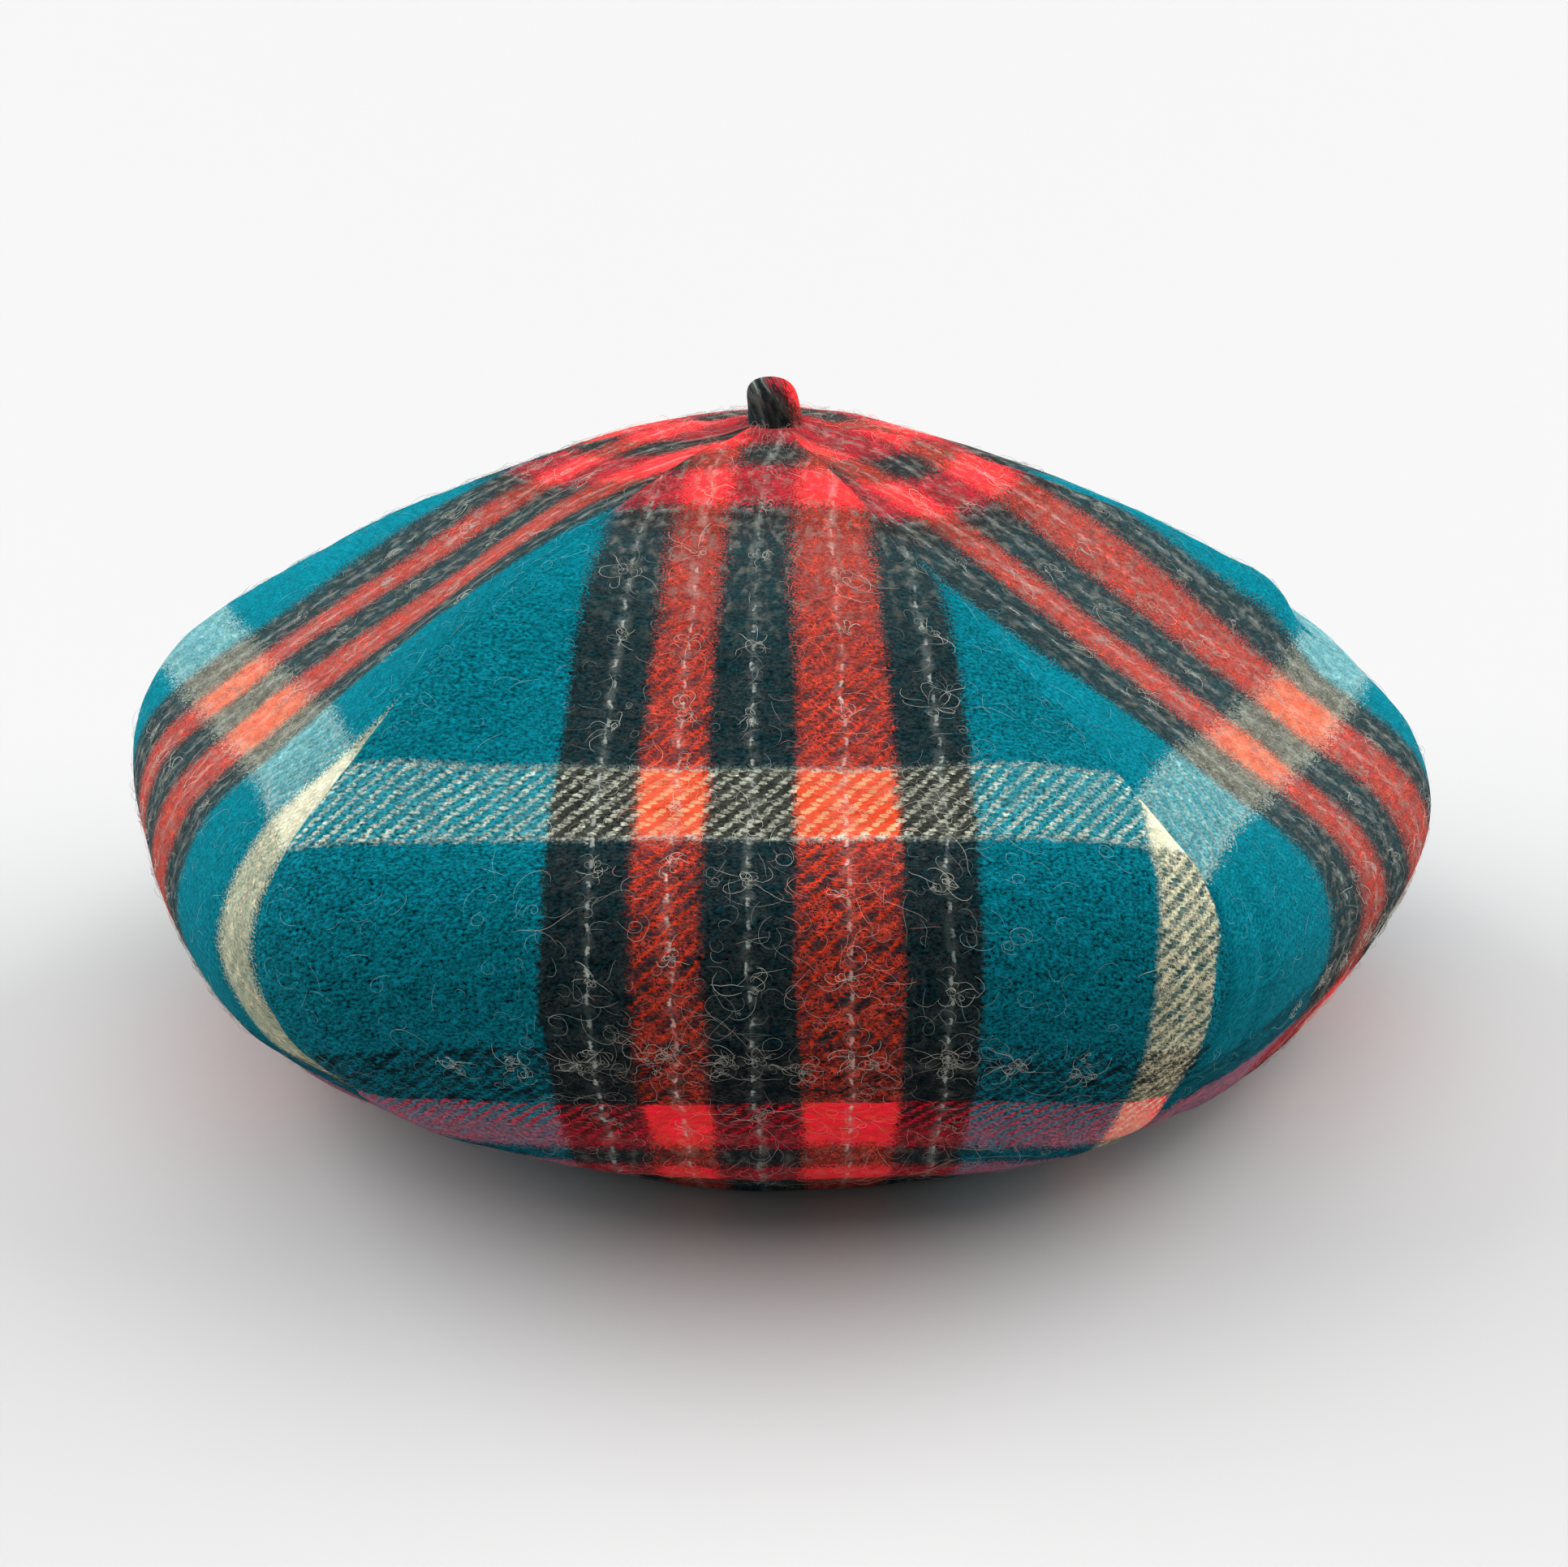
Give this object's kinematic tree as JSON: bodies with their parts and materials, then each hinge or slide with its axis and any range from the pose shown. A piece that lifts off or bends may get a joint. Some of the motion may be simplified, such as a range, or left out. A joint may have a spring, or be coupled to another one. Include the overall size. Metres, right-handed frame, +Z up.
{
  "type": "tam o'shanter",
  "caption": "Soft gored tartan wool beret with a wide drooping crown, a small folded stalk on top and an open round head opening underneath.",
  "frame": {"origin": "on the surface that the hat rests on, below the middle of the hat", "axes": "+Z up through the crown; -Y towards the front gore; +X towards the side that is on the right in a view of the front"},
  "size_m": [0.3038, 0.2358, 0.151],
  "materials": {
    "tartan_wool": "brushed matt wool twill in a teal, black and orange tartan",
    "stalk_wool": "brushed matt wool twill"
  },
  "bodies": {
    "root": {"gore_front": "tartan_wool", "gore_right": "tartan_wool", "gore_back_right": "tartan_wool", "gore_back_left": "tartan_wool", "gore_left": "tartan_wool", "stalk": "stalk_wool"}
  },
  "joints": []
}
